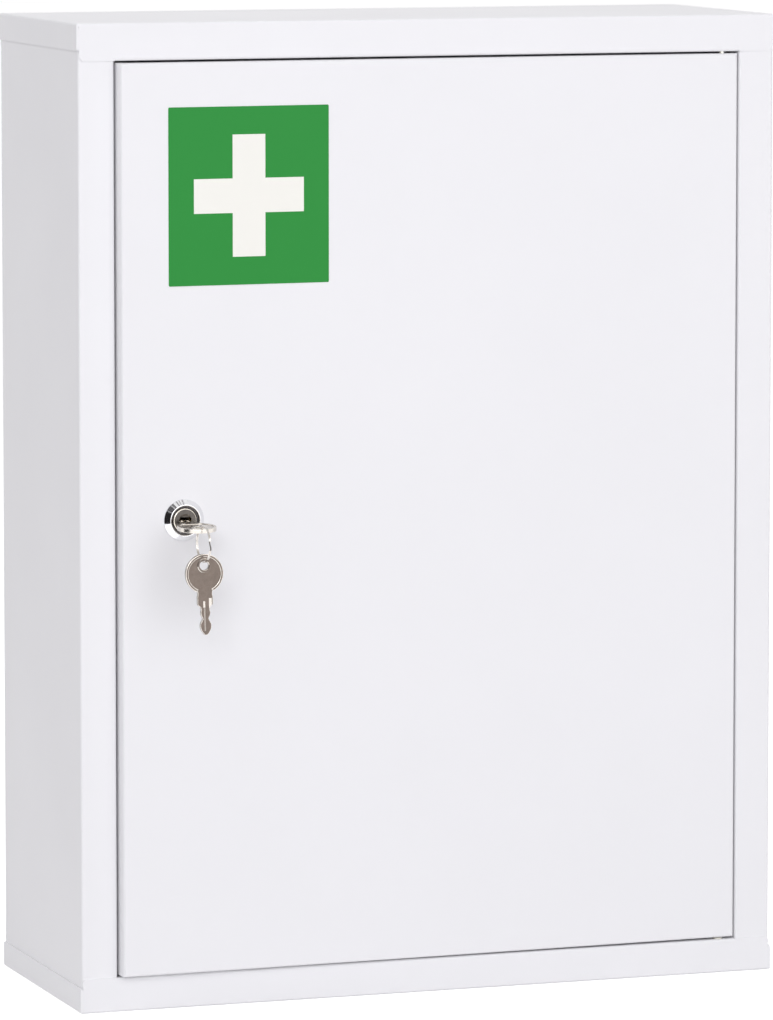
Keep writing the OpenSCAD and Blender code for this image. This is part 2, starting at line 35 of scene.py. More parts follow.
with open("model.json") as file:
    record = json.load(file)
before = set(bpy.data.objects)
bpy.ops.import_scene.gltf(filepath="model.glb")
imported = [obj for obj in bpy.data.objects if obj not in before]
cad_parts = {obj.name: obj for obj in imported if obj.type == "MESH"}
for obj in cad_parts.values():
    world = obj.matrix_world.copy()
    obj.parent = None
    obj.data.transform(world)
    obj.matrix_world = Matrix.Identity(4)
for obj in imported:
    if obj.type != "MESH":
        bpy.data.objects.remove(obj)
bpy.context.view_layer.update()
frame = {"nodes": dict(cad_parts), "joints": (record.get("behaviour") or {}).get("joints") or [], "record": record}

MM = 0.001
TURN_STEPS = 96          # sides of a turned piece
ARC_STEPS = 72           # sides of a full circle in a plate's outline
SMOOTH_ANGLE = 35        # faces that meet at less than this are shaded as one, in degrees


# ---- Places taken from the frame ----

def joint(name):
    """The joint of that name."""
    return next(j for j in frame["joints"] if j["name"] == name)


def turned_frame(origin, out):
    """Matrix of a place whose Z axis is out and whose Y axis is as near to up as can be."""
    z = Vector(out).normalized()
    x = Vector((0, 0, 1)).cross(z).normalized()
    y = z.cross(x)
    place = Matrix((x, y, z)).transposed().to_4x4()
    place.translation = Vector(origin)
    return place


def box_in(place, node):
    """Lowest and highest corner of a CAD node along the place's own axes, in millimetres."""
    inverse = place.inverted()
    points = [inverse @ v.co / MM for v in frame["nodes"][node].data.vertices]
    return (Vector([min(p[i] for p in points) for i in range(3)]),
            Vector([max(p[i] for p in points) for i in range(3)]))


def shifted(x, y, z):
    """Matrix that moves by x, y and z millimetres."""
    return Matrix.Translation(Vector((x, y, z)) * MM)


def slot_of(node):
    """The material slot that the record gives a CAD node."""
    return next(p["material_slot"] for p in frame["record"]["subparts"] if p["node"] == node)


def body_of(node):
    """The body that a CAD node belongs to."""
    bodies = frame["record"]["behaviour"]["bodies"]
    return next(body for body, members in bodies.items() if node in members)


# Along the lock's own axis: Z out of the door, Y up, the origin on the door's face
LOCK = turned_frame(joint("lock_turn")["pos_m"], -Vector(joint("lock_turn")["axis"]))


# ---- Shader steps ----

def noise(nodes, links, vector, scale, detail=3.0, roughness=0.5):
    """A noise node that reads vector at that scale, a number or a socket."""
    made = nodes.new("ShaderNodeTexNoise")
    made.inputs["Detail"].default_value = detail
    made.inputs["Roughness"].default_value = roughness
    links.new(vector, made.inputs["Vector"])
    if isinstance(scale, bpy.types.NodeSocket):
        links.new(scale, made.inputs["Scale"])
    else:
        made.inputs["Scale"].default_value = scale
    return made


def value_map(nodes, links, value, low, high, to_low, to_high):
    """Maps a value from low..high to to_low..to_high, and holds it there."""
    made = nodes.new("ShaderNodeMapRange")
    made.inputs["From Min"].default_value = low
    made.inputs["From Max"].default_value = high
    made.inputs["To Min"].default_value = to_low
    made.inputs["To Max"].default_value = to_high
    links.new(value, made.inputs["Value"])
    return made.outputs["Result"]


def arithmetic(nodes, links, operation, first, second):
    """A maths node on two sockets or numbers."""
    made = nodes.new("ShaderNodeMath")
    made.operation = operation
    for socket, value in zip(made.inputs, (first, second)):
        if isinstance(value, bpy.types.NodeSocket):
            links.new(value, socket)
        else:
            socket.default_value = value
    return made.outputs[0]


def colour_mix(nodes, links, factor, first, second):
    """Mixes two colours, sockets or tuples, by a factor."""
    made = nodes.new("ShaderNodeMix")
    made.data_type = "RGBA"
    links.new(factor, made.inputs["Factor"])
    for socket, value in ((made.inputs["A"], first), (made.inputs["B"], second)):
        if isinstance(value, bpy.types.NodeSocket):
            links.new(value, socket)
        else:
            socket.default_value = (*value, 1)
    return made.outputs["Result"]


# ---- Camera, light and floor ----

CAMERA_AT = Vector((-1.0202, -2.9371, 0.5815))
CAMERA_TURN = -19.156    # to the right of straight at the door, in degrees
CAMERA_DIP = 5.43        # below the horizon, in degrees
CAMERA_LENS = 230.4      # millimetres, on a 36 mm long side
CAMERA_SHIFT = -0.13     # the photograph looks down on the cabinet with its uprights upright


def make_camera():
    """The camera, at the photograph's angle."""
    lens = bpy.data.cameras.new("camera")
    lens.sensor_width = 36
    lens.lens = CAMERA_LENS
    lens.shift_y = CAMERA_SHIFT
    lens.clip_start, lens.clip_end = 0.05, 60
    camera = bpy.data.objects.new("camera", lens)
    camera.location = CAMERA_AT
    camera.rotation_euler = (math.radians(90 - CAMERA_DIP), 0, math.radians(CAMERA_TURN))
    bpy.context.scene.collection.objects.link(camera)
    bpy.context.scene.camera = camera


WHITE = (1, 1, 1)
AMBIENT = (0.440, 0.431, 0.440)  # light of the studio's walls
LAMP_COLOUR = (0.97, 0.968, 1.0)
LAMPS = [
    # name, place, aim, size, power
    ("key_softbox", (-1.6, -2.8, 1.5), (-0.05, 0, 0.23), 1.2, 19),
    ("front_softbox", (0.5, -3.0, 0.9), (0, 0, 0.2), 3.6, 52),
    ("side_softbox", (-1.5, -0.2, 1.5), (-0.17, 0, 0.40), 0.6, 4.2),
    ("top_softbox", (0.3, 0.7, 2.0), (0, 0, 0.46), 1.2, 5),
]


def aimed(origin, target):
    """Turn that points an object's -Z axis from origin at target."""
    return (Vector(target) - Vector(origin)).to_track_quat("-Z", "Y").to_euler()


def plain_view(nodes, links):
    """Socket that is 1 where the camera, a gloss or a glass sees a surface, and 0 elsewhere."""
    rays = nodes.new("ShaderNodeLightPath")
    seen = rays.outputs["Is Camera Ray"]
    for kind in ("Is Glossy Ray", "Is Transmission Ray"):
        seen = arithmetic(nodes, links, "MAXIMUM", seen, rays.outputs[kind])
    return seen


def make_lights():
    """Soft lamps and a pale studio around the cabinet."""
    for name, place, target, size, power in LAMPS:
        light = bpy.data.lights.new(name, "AREA")
        light.size = size
        light.energy = power
        light.color = LAMP_COLOUR
        lamp = bpy.data.objects.new(name, light)
        lamp.location = place
        lamp.rotation_euler = aimed(place, target)
        bpy.context.scene.collection.objects.link(lamp)

    world = bpy.data.worlds.new("studio")
    bpy.context.scene.world = world
    world.use_nodes = True
    nodes, links = world.node_tree.nodes, world.node_tree.links
    links.new(colour_mix(nodes, links, plain_view(nodes, links), AMBIENT, WHITE),
              nodes["Background"].inputs["Color"])


FLOOR_SIZE = 24
FLOOR_GLOW = 0.60        # lifts the floor to white where it is seen
FLOOR_THROWN = (0.8, 0.8, 0.8)   # its colour for the light that it throws on the cabinet
FLOOR_SEEN = (0.95, 0.95, 0.95)  # its colour where it is seen


def make_floor():
    """White floor that keeps the cabinet's shadow."""
    bpy.ops.mesh.primitive_plane_add(size=FLOOR_SIZE)
    floor = bpy.context.object
    floor.name = "studio_floor"
    material = bpy.data.materials.new("studio_floor")
    material.use_nodes = True
    nodes, links = material.node_tree.nodes, material.node_tree.links
    shader = nodes["Principled BSDF"]
    shader.inputs["Roughness"].default_value = 0.9
    shader.inputs["Specular IOR Level"].default_value = 0.0
    shader.inputs["Emission Color"].default_value = (*WHITE, 1)
    seen = plain_view(nodes, links)
    links.new(colour_mix(nodes, links, seen, FLOOR_THROWN, FLOOR_SEEN),
              shader.inputs["Base Color"])
    links.new(arithmetic(nodes, links, "MULTIPLY", seen, FLOOR_GLOW),
              shader.inputs["Emission Strength"])
    floor.data.materials.append(material)


# Dark flags beside and above the lock, which only polished metal mirrors
FLAGS = [
    # name, place, aim, width, height, grey
    ("flag_left", (-0.72, -0.22, 0.3125), (-0.12, -0.07, 0.3125), 0.44, 0.565, 0.02),
    ("flag_upper_left", (-1.0, -0.40, 1.155), (-0.12, -0.07, 1.10), 0.7, 0.66, 0.05),
    ("flag_top_left", (-1.0, -0.50, 1.98), (-0.12, -0.07, 1.90), 0.8, 0.50, 0.09),
    ("flag_above_1", (-0.40, -0.32, 2.0), (-0.40, -0.30, 0.2), 0.13, 0.5, 0.20),
    ("flag_above_2", (-0.10, -0.27, 2.0), (-0.10, -0.25, 0.2), 0.09, 0.5, 0.35),
    ("flag_above_3", (0.24, -0.20, 2.0), (0.24, -0.18, 0.2), 0.12, 0.5, 0.30),
]
FLAG_GREEN = 0.94        # green's share of a flag's grey


def make_flags():
    """The flags that a chrome edge needs, seen by nothing but gloss."""
    for name, place, target, width, height, grey in FLAGS:
        bpy.ops.mesh.primitive_plane_add(size=1, location=place, rotation=aimed(place, target))
        flag = bpy.context.object
        flag.name = name
        flag.scale = (width, height, 1)
        material = bpy.data.materials.new(name)
        material.use_nodes = True
        nodes, links = material.node_tree.nodes, material.node_tree.links
        nodes.remove(nodes["Principled BSDF"])
        glow = nodes.new("ShaderNodeEmission")
        glow.inputs["Color"].default_value = (grey, grey * FLAG_GREEN, grey, 1)
        links.new(glow.outputs[0], nodes["Material Output"].inputs["Surface"])
        flag.data.materials.append(material)
        flag.visible_camera = False
        flag.visible_diffuse = False
        flag.visible_transmission = False
        flag.visible_shadow = False


# ---- Effects that materials share ----

def new_group(name, inputs, outputs):
    """An empty effect with its sockets: (name, type, value) in, (name, type) out."""
    group = bpy.data.node_groups.new(name, "ShaderNodeTree")
    for socket, kind, value in inputs:
        made = group.interface.new_socket(socket, in_out="INPUT", socket_type=kind)
        made.default_value = value
    for socket, kind in outputs:
        group.interface.new_socket(socket, in_out="OUTPUT", socket_type=kind)
    entry = group.nodes.new("NodeGroupInput")
    leave = group.nodes.new("NodeGroupOutput")
    return group, group.nodes, group.links, entry, leave


def make_orange_peel():
    """Skin of sprayed or baked paint: soft waves, a fine grain and a faint cloudiness."""
    group, nodes, links, entry, leave = new_group(
        "orange_peel",
        [("Wave Scale", "NodeSocketFloat", 450.0), ("Grain Scale", "NodeSocketFloat", 2600.0)],
        [("Height", "NodeSocketFloat"), ("Cloud", "NodeSocketFloat")])
    place = nodes.new("ShaderNodeTexCoord").outputs["Object"]
    waves = noise(nodes, links, place, entry.outputs["Wave Scale"], 2.0, 0.45)
    grain = noise(nodes, links, place, entry.outputs["Grain Scale"], 2.0, 0.6)
    cloud = noise(nodes, links, place, 9.0, 3.0, 0.55)
    fine = arithmetic(nodes, links, "MULTIPLY", grain.outputs["Fac"], 0.25)
    links.new(arithmetic(nodes, links, "ADD", waves.outputs["Fac"], fine),
              leave.inputs["Height"])
    links.new(value_map(nodes, links, cloud.outputs["Fac"], 0.3, 0.7, 0, 1),
              leave.inputs["Cloud"])
    return group


def make_metal_skin():
    """Skin of plated metal: fine scratches in two directions, and dull stains from handling."""
    group, nodes, links, entry, leave = new_group(
        "metal_skin",
        [("Stain Scale", "NodeSocketFloat", 260.0),
         ("Scratch Scale", "NodeSocketFloat", 900.0)],
        [("Height", "NodeSocketFloat"), ("Stain", "NodeSocketFloat"),
         ("Scratch", "NodeSocketFloat")])
    place = nodes.new("ShaderNodeTexCoord").outputs["Object"]
    stain = noise(nodes, links, place, entry.outputs["Stain Scale"], 4.0, 0.6)
    bent = nodes.new("ShaderNodeMapping")
    bent.inputs["Scale"].default_value = (1.0, 1.0, 7.0)
    bent.inputs["Rotation"].default_value = (0.5, 0.9, 0.3)
    links.new(place, bent.inputs["Vector"])
    one_way = noise(nodes, links, bent.outputs["Vector"], entry.outputs["Scratch Scale"])
    crossed = nodes.new("ShaderNodeMapping")
    crossed.inputs["Scale"].default_value = (8.0, 1.0, 1.0)
    crossed.inputs["Rotation"].default_value = (0.2, 0.3, 0.8)
    links.new(place, crossed.inputs["Vector"])
    other_way = noise(nodes, links, crossed.outputs["Vector"], entry.outputs["Scratch Scale"])
    both = arithmetic(nodes, links, "MULTIPLY", one_way.outputs["Fac"],
                      other_way.outputs["Fac"])
    links.new(both, leave.inputs["Height"])
    links.new(value_map(nodes, links, stain.outputs["Fac"], 0.35, 0.68, 0, 1),
              leave.inputs["Stain"])
    links.new(value_map(nodes, links, both, 0.12, 0.42, 0, 1), leave.inputs["Scratch"])
    return group


EFFECTS = {}


def effect(nodes, name, **values):
    """Places a shared effect in a material, with its own values."""
    made = nodes.new("ShaderNodeGroup")
    made.node_tree = EFFECTS[name]
    for socket, value in values.items():
        made.inputs[socket.replace("_", " ")].default_value = value
    return made


# ---- Materials ----

def new_material(name, colour, roughness, metallic=0.0):
    """A material with its plain colour, and its nodes, links and shader."""
    material = bpy.data.materials.new(name)
    material.use_nodes = True
    nodes, links = material.node_tree.nodes, material.node_tree.links
    shader = nodes["Principled BSDF"]
    shader.inputs["Base Color"].default_value = (*colour, 1)
    shader.inputs["Roughness"].default_value = roughness
    shader.inputs["Metallic"].default_value = metallic
    material.diffuse_color = (*colour, 1)
    return material, nodes, links, shader


def add_bump(nodes, links, shader, height, strength, distance):
    """Raises the surface by height, at most by distance in metres."""
    bump = nodes.new("ShaderNodeBump")
    bump.inputs["Strength"].default_value = strength
    bump.inputs["Distance"].default_value = distance
    links.new(height, bump.inputs["Height"])
    links.new(bump.outputs["Normal"], shader.inputs["Normal"])


def shaded(colour, share):
    """The colour, darkened to that share."""
    return tuple(c * share for c in colour)


def attribute_value(nodes, name):
    """Socket with the value of a mesh attribute."""
    made = nodes.new("ShaderNodeAttribute")
    made.attribute_name = name
    return made.outputs["Fac"]


def peel_coat(name, colour, cloudy, roughness, worn, scales, bump):
    """A coat with orange peel, whose cloudy patches have another colour and roughness.
    Worn is the roughness outside and inside the patches, scales are those of waves and grain."""
    material, nodes, links, shader = new_material(name, colour, roughness)
    skin = effect(nodes, "orange_peel", Wave_Scale=scales[0], Grain_Scale=scales[1])
    cloud = skin.outputs["Cloud"]
    links.new(colour_mix(nodes, links, cloud, colour, cloudy), shader.inputs["Base Color"])
    links.new(value_map(nodes, links, cloud, 0, 1, *worn), shader.inputs["Roughness"])
    add_bump(nodes, links, shader, skin.outputs["Height"], *bump)
    return material


def powder_coat(name, colour):
    """White powder coat with its orange peel, a little duller in its cloudy patches."""
    return peel_coat(name, colour, shaded(colour, 0.985), 0.42, (0.38, 0.46),
                     (420.0, 2400.0), (0.16, 0.00012))


def printed_vinyl(name, colour):
    """Self-adhesive film with a slight gloss and the faint ripple of the paint under it."""
    material = peel_coat(name, colour, shaded(colour, 0.975), 0.4, (0.34, 0.42),
                         (240.0, 5200.0), (0.1, 0.00008))
    shader = material.node_tree.nodes["Principled BSDF"]
    shader.inputs["Specular IOR Level"].default_value = 0.25
    return material


def polished_plate(name, colour, roughness, stained, dull, sunk=None):
    """Bright plating: stains shift it to another colour and roughness, scratches cut it.
    A sunk colour, painted shade in the groove, shows where the mesh attribute "sunk" is 1."""
    material, nodes, links, shader = new_material(name, colour, roughness, 1.0)
    skin = effect(nodes, "metal_skin", Stain_Scale=180.0, Scratch_Scale=1500.0)
    plated = colour_mix(nodes, links, skin.outputs["Stain"], colour, stained)
    if sunk:
        # the sunk colour is painted shade: the groove painted dark where the chrome lies in shade
        plated = colour_mix(nodes, links, attribute_value(nodes, "sunk"), plated, sunk)
    links.new(plated, shader.inputs["Base Color"])
    links.new(value_map(nodes, links, skin.outputs["Stain"], 0, 1, roughness, dull),
              shader.inputs["Roughness"])
    add_bump(nodes, links, shader, skin.outputs["Height"], 0.05, 0.00003)
    return material


def worn_and_sheen_plate(name, flat, edge, roughness):
    """Aged plating with edges rubbed bright, partly a painted highlight, and flats painted dark as shade and dark
    reflection. The mesh attribute "rub" is 1 at the bright edges.
    """
    material, nodes, links, shader = new_material(name, flat, roughness, 1.0)
    skin = effect(nodes, "metal_skin", Stain_Scale=420.0, Scratch_Scale=2200.0)
    # flat is a painted dark colour, shade and dark reflection; rub mixes in the bright edge, wear and painted
    # highlight
    wear_and_sheen = attribute_value(nodes, "wear_and_sheen")
    aged = colour_mix(nodes, links, skin.outputs["Stain"], flat, shaded(flat, 0.82))
    scratches = arithmetic(nodes, links, "MULTIPLY", skin.outputs["Scratch"], 0.12)
    scratched = colour_mix(nodes, links, scratches, aged, edge)
    links.new(colour_mix(nodes, links, wear_and_sheen, scratched, edge), shader.inputs["Base Color"])
    worn = value_map(nodes, links, wear_and_sheen, 0, 1, roughness, roughness * 0.55)
    stains = arithmetic(nodes, links, "MULTIPLY", skin.outputs["Stain"], 0.08)
    links.new(arithmetic(nodes, links, "ADD", worn, stains), shader.inputs["Roughness"])
    add_bump(nodes, links, shader, skin.outputs["Height"], 0.06, 0.00003)
    return material


def zinc_plate(name, colour):
    """Zinc plating with its pale yellow and bluish tints."""
    material, nodes, links, shader = new_material(name, colour, 0.3, 1.0)
    skin = effect(nodes, "metal_skin", Stain_Scale=140.0, Scratch_Scale=1300.0)
    place = nodes.new("ShaderNodeTexCoord").outputs["Object"]
    tint = noise(nodes, links, place, 95.0, 2.0, 0.5)
    ramp = nodes.new("ShaderNodeValToRGB")
    stops = ramp.color_ramp.elements
    for stop, (position, tinted) in zip(stops, ZINC_TINTS):
        stop.position = position
        stop.color = (*tinted, 1)
    stops.new(0.5).color = (*colour, 1)
    links.new(tint.outputs["Fac"], ramp.inputs["Fac"])
    stains = arithmetic(nodes, links, "MULTIPLY", skin.outputs["Stain"], 0.4)
    links.new(colour_mix(nodes, links, stains, ramp.outputs["Color"], shaded(colour, 0.75)),
              shader.inputs["Base Color"])
    links.new(value_map(nodes, links, skin.outputs["Stain"], 0, 1, 0.24, 0.42),
              shader.inputs["Roughness"])
    add_bump(nodes, links, shader, skin.outputs["Height"], 0.1, 0.00004)
    return material


def moulded_rubber(name, colour):
    """Dull rubber with the fine texture of its mould."""
    dusty = tuple(c * 1.3 + 0.02 for c in colour)
    return peel_coat(name, colour, dusty, 0.72, (0.66, 0.8), (1400.0, 6000.0), (0.3, 0.00008))


# Linear colours
GREEN = (0.016, 0.274, 0.036)
SIGN_WHITE = (0.962, 0.955, 0.890)
CHROME = (0.86, 0.86, 0.87)
CHROME_STAIN = (0.80, 0.80, 0.82)
# painted shade in the bezel's groove
CHROME_GROOVE_SHADE = (0.07, 0.065, 0.065)
# painted shade at the ring's split
RING_SPLIT_SHADE = (0.10, 0.09, 0.08)
RING_STEEL = (0.74, 0.71, 0.67)
# key flats painted dark as dark reflection, with some tarnish; the edges are the bright metal
NICKEL_TARNISH_AND_REFLECTION = (0.135, 0.104, 0.086)
NICKEL_EDGE = (0.80, 0.76, 0.70)
# plug face and keyway painted dark as shade and dark reflection; the edges are the bright metal
PLUG_SHADE_AND_REFLECTION = (0.072, 0.064, 0.060)
PLUG_EDGE = (0.80, 0.75, 0.66)
ZINC = (0.58, 0.58, 0.57)
ZINC_TINTS = [(0.36, (0.60, 0.55, 0.42)), (0.64, (0.50, 0.56, 0.66))]   # place on the ramp, tint
BRASS = (0.72, 0.52, 0.24)
BRASS_STAIN = (0.48, 0.33, 0.16)
RUBBER = (0.05, 0.05, 0.052)

MATERIALS = {}


def make_materials():
    """One material for each slot of the record."""
    EFFECTS["orange_peel"] = make_orange_peel()
    EFFECTS["metal_skin"] = make_metal_skin()
    written = {m["slot"]: tuple(m["base_color"]) for m in frame["record"]["materials"]}
    MATERIALS["cabinet_paint"] = powder_coat("cabinet_paint", written["cabinet_paint"])
    MATERIALS["door_paint"] = powder_coat("door_paint", written["door_paint"])
    MATERIALS["sign_green"] = printed_vinyl("sign_green", GREEN)
    MATERIALS["sign_white"] = printed_vinyl("sign_white", SIGN_WHITE)
    MATERIALS["lock_chrome"] = polished_plate("lock_chrome", CHROME, 0.07, CHROME_STAIN, 0.14,
                                              sunk=CHROME_GROOVE_SHADE)
    MATERIALS["plug_metal"] = worn_and_sheen_plate("plug_metal", PLUG_SHADE_AND_REFLECTION, PLUG_EDGE, 0.26)
    MATERIALS["key_nickel"] = worn_and_sheen_plate("key_nickel", NICKEL_TARNISH_AND_REFLECTION, NICKEL_EDGE, 0.3)
    MATERIALS["ring_steel"] = worn_and_sheen_plate("ring_steel", RING_SPLIT_SHADE, RING_STEEL, 0.22)
    MATERIALS["zinc_steel"] = zinc_plate("zinc_steel", ZINC)
    MATERIALS["wafer_brass"] = polished_plate("wafer_brass", BRASS, 0.28, BRASS_STAIN, 0.45)
    MATERIALS["bumper_rubber"] = moulded_rubber("bumper_rubber", RUBBER)


def dress_cad_nodes():
    """Gives every CAD node the material of its slot."""
    for part in frame["record"]["subparts"]:
        node = frame["nodes"][part["node"]]
        node.data.materials.clear()
        node.data.materials.append(MATERIALS[part["material_slot"]])


# ---- Modelling steps ----

def use(piece):
    """Makes the piece the only one selected, and the active one."""
    bpy.ops.object.select_all(action="DESELECT")
    piece.select_set(True)
    bpy.context.view_layer.objects.active = piece


def edit(piece):
    """Opens the piece for editing, all of it selected."""
    use(piece)
    bpy.ops.object.mode_set(mode="EDIT")
    bpy.ops.mesh.select_all(action="SELECT")


def leave_edit():
    bpy.ops.object.mode_set(mode="OBJECT")


def apply_modifier(piece, kind, **settings):
    """Adds a modifier with those settings and applies it."""
    use(piece)
    modifier = piece.modifiers.new(kind.lower(), kind)
    for name, value in settings.items():
        setattr(modifier, name, value)
    bpy.ops.object.modifier_apply(modifier=modifier.name)


def soften(piece, width, segments=3, angle=30):
    """Rounds the edges that are sharper than angle, in degrees, by width millimetres."""
    apply_modifier(piece, "BEVEL", width=width * MM, segments=segments, limit_method="ANGLE",
                   angle_limit=math.radians(angle), use_clamp_overlap=True,
                   miter_outer="MITER_ARC")


def combine(piece, tool, operation):
    """Joins the tool to the piece, cuts it out or keeps what both hold. The tool goes away."""
    apply_modifier(piece, "BOOLEAN", operation=operation, object=tool, solver="EXACT")
    bpy.data.objects.remove(tool)


def start_point(name, at):
    """A piece that is one point, open for editing and selected."""
    bpy.ops.object.select_all(action="DESELECT")
    bpy.ops.mesh.primitive_plane_add(size=1)
    piece = bpy.context.object
    piece.name = name
    piece.data.name = name
    edit(piece)
    bpy.ops.mesh.merge(type="CENTER")
    bpy.ops.transform.translate(value=Vector(at) * MM)
    return piece


def draw_on(points):
    """Draws a line from the selected point through the points that follow it."""
    for here, there in zip(points, points[1:]):
        step = (Vector(there) - Vector(here)) * MM
        bpy.ops.mesh.extrude_region_move(TRANSFORM_OT_translate={"value": step})


def turned(name, profile, steps=TURN_STEPS):
    """A piece turned about Z. The profile is a list of radius and height, in millimetres."""
    points = [(radius, 0, height) for radius, height in profile]
    piece = start_point(name, points[0])
    draw_on(points)
    bpy.ops.mesh.select_all(action="SELECT")
    bpy.ops.mesh.spin(steps=steps, angle=2 * math.pi, center=(0, 0, 0), axis=(0, 0, 1))
    bpy.ops.mesh.select_all(action="SELECT")
    bpy.ops.mesh.remove_doubles(threshold=MM / 1000)
    bpy.ops.mesh.normals_make_consistent(inside=False)
    leave_edit()
    return piece


def plate(name, outline, low, high):
    """A flat piece with that outline in X and Y, from height low to height high."""
    points = [(x, y, low) for x, y in outline]
    piece = start_point(name, points[0])
    draw_on(points)
    bpy.ops.mesh.select_all(action="SELECT")
    bpy.ops.mesh.edge_face_add()
    bpy.ops.mesh.extrude_region_move(
        TRANSFORM_OT_translate={"value": (0, 0, (high - low) * MM)})
    bpy.ops.mesh.select_all(action="SELECT")
    bpy.ops.mesh.normals_make_consistent(inside=False)
    leave_edit()
    return piece


def block(name, centre, size):
    """A box, for cutting or joining."""
    bpy.ops.object.select_all(action="DESELECT")
    bpy.ops.mesh.primitive_cube_add(size=1, location=Vector(centre) * MM)
    piece = bpy.context.object
    piece.name = name
    piece.scale = Vector(size) * MM
    bpy.ops.object.transform_apply(location=True, rotation=True, scale=True)
    return piece


def drill(name, radius, low, high, sides=ARC_STEPS):
    """A round bar along Z, for cutting holes."""
    bpy.ops.object.select_all(action="DESELECT")
    bpy.ops.mesh.primitive_cylinder_add(vertices=sides, radius=radius * MM,
                                        depth=(high - low) * MM,
                                        location=Vector((0, 0, (low + high) / 2)) * MM)
    piece = bpy.context.object
    piece.name = name
    bpy.ops.object.transform_apply(location=True, rotation=True, scale=True)
    return piece


def arc(centre, radius, start, end, steps=None):
    """Points on a circle from angle start to angle end, in degrees."""
    count = steps or max(2, round(abs(end - start) / 360 * ARC_STEPS))
    angles = [math.radians(start + (end - start) * i / count) for i in range(count + 1)]
    return [(centre[0] + radius * math.cos(a), centre[1] + radius * math.sin(a))
            for a in angles]


def copied(piece, name):
    """A copy of the piece with its own mesh."""
    twin = piece.copy()
    twin.data = piece.data.copy()
    twin.name = name
    twin.data.name = name
    bpy.context.scene.collection.objects.link(twin)
    return twin


def mark(piece, attribute, worth):
    """Writes an attribute on every face, by a function of the face."""
    values = piece.data.attributes.get(attribute)
    if values is None:
        values = piece.data.attributes.new(attribute, "FLOAT", "FACE")
    for face in piece.data.polygons:
        values.data[face.index].value = worth(face)


def finish_piece(piece, place, node):
    """Puts the piece in its place, with the finish and the body of the node it stands for."""
    piece.data.transform(place)
    piece.data.update()
    use(piece)
    bpy.ops.object.shade_smooth_by_angle(angle=math.radians(SMOOTH_ANGLE))
    apply_modifier(piece, "WEIGHTED_NORMAL", keep_sharp=True, weight=100)
    material_slot = slot_of(node)
    piece.data.materials.clear()
    piece.data.materials.append(MATERIALS[material_slot])
    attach(piece, body_of(node))
    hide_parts(node)


# ---- Folded sheets ----

SHEET = 0.8
PAINT_EDGE = 0.22        # how far paint rounds a cut edge, in millimetres
SHEETS = ["top_cap", "bottom_cap", "left_side_panel", "right_side_panel", "back_panel",
          "upper_shelf", "lower_shelf", "shelf_brackets", "door_panel"]

CAP_SEAM = 0.25          # slit between a cap's side flange and its front or back flange
CAP_SEAMS = {"top_cap": (447.5, 457.9), "bottom_cap": (1.7, 11.8)}
SEAM_SUNK = 0.1          # how deep the paint lies in the slit
SEAM_PAINT = 0.6         # thickness of the paint in the slit
SEAM_BITE = 0.05         # how far the paint stands into either side of the slit


def close_seams(piece, low, high):
    """Fills the slits at a cap's corners with paint, a little under the sheet's face."""
    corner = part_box("top_cap")[1]
    for side in (-1, 1):
        for end in (-1, 1):
            at = (side * (corner.x / MM - SHEET - CAP_SEAM / 2),
                  end * (corner.y / MM - SEAM_SUNK - SEAM_PAINT / 2), (low + high) / 2)
            paint = block("seam_paint", at, (CAP_SEAM + 2 * SEAM_BITE, SEAM_PAINT, high - low))
            use(piece)
            paint.select_set(True)
            bpy.ops.object.join()


def soften_sheets():
    """Stands a copy in for every folded sheet, with the edges rounded as paint rounds them."""
    for node in SHEETS:
        piece = copied(frame["nodes"][node], node + "_painted")
        piece.parent = None
        for key in list(piece.keys()):
            del piece[key]
        edit(piece)
        bpy.ops.mesh.customdata_custom_splitnormals_clear()
        bpy.ops.mesh.remove_doubles(threshold=MM / 200)
        bpy.ops.mesh.dissolve_limited(angle_limit=math.radians(0.5))
        leave_edit()
        soften(piece, PAINT_EDGE)
        if node in CAP_SEAMS:
            close_seams(piece, *CAP_SEAMS[node])
        finish_piece(piece, Matrix.Identity(4), node)


# ---- Lock ----

LOCK_BOX = box_in(LOCK, "lock_body")
BEZEL_H = LOCK_BOX[1].z
BEZEL_R = LOCK_BOX[1].x
BARREL_END = LOCK_BOX[0].z
BARREL_R = 8.0
BARREL_HALF_FLAT = 7.0
RIM_R = 7.6              # outside of the bezel's rim
GROOVE_R = 6.85          # inside of the bezel's rim
GROOVE_FLOOR = 1.9
PLUG_HEAD_R = 6.0
PLUG_R = 5.5
FIT = 0.06
THREAD_PITCH = 1.0
THREAD_DEPTH = 0.45
THREAD_STEPS = 48        # sides of a thread's turn
TOOTH_ROOT = 0.15        # how far a tooth stands into its core
TOOTH_CREST = [(0.42, 0.05), (0.5, 0), (0.58, 0.05)]    # share of the pitch, depth under the top
TOOTH_END = 0.99         # share of the pitch at which the tooth ends
FOOT_SOFT = 0.35         # rounding of the bezel's foot
FOOT_H = 0.5             # height of the rounding's centre over the door


def thread(name, core, outer, pitch, low, high):
    """A screw thread about Z: one tooth wound up from low to high, joined to its core."""
    turns = max(1, int((high - low) / pitch) - 1)
    first = low + (high - low - (turns + 1) * pitch) / 2
    tooth = [(core - TOOTH_ROOT, 0, first),
             *((outer - depth, 0, first + pitch * share) for share, depth in TOOTH_CREST),
             (core - TOOTH_ROOT, 0, first + pitch * TOOTH_END)]
    piece = start_point(name, tooth[0])
    draw_on(tooth)
    bpy.ops.mesh.select_all(action="SELECT")
    bpy.ops.mesh.edge_face_add()
    leave_edit()
    apply_modifier(piece, "SCREW", axis="Z", angle=2 * math.pi, screw_offset=pitch * MM,
                   iterations=turns, steps=THREAD_STEPS, render_steps=THREAD_STEPS,
                   use_merge_vertices=False)
    edit(piece)
    bpy.ops.mesh.fill_holes(sides=0)
    bpy.ops.mesh.normals_make_consistent(inside=False)
    leave_edit()
    combine(piece, drill(name + "_core", core, low, high), "UNION")
    return piece


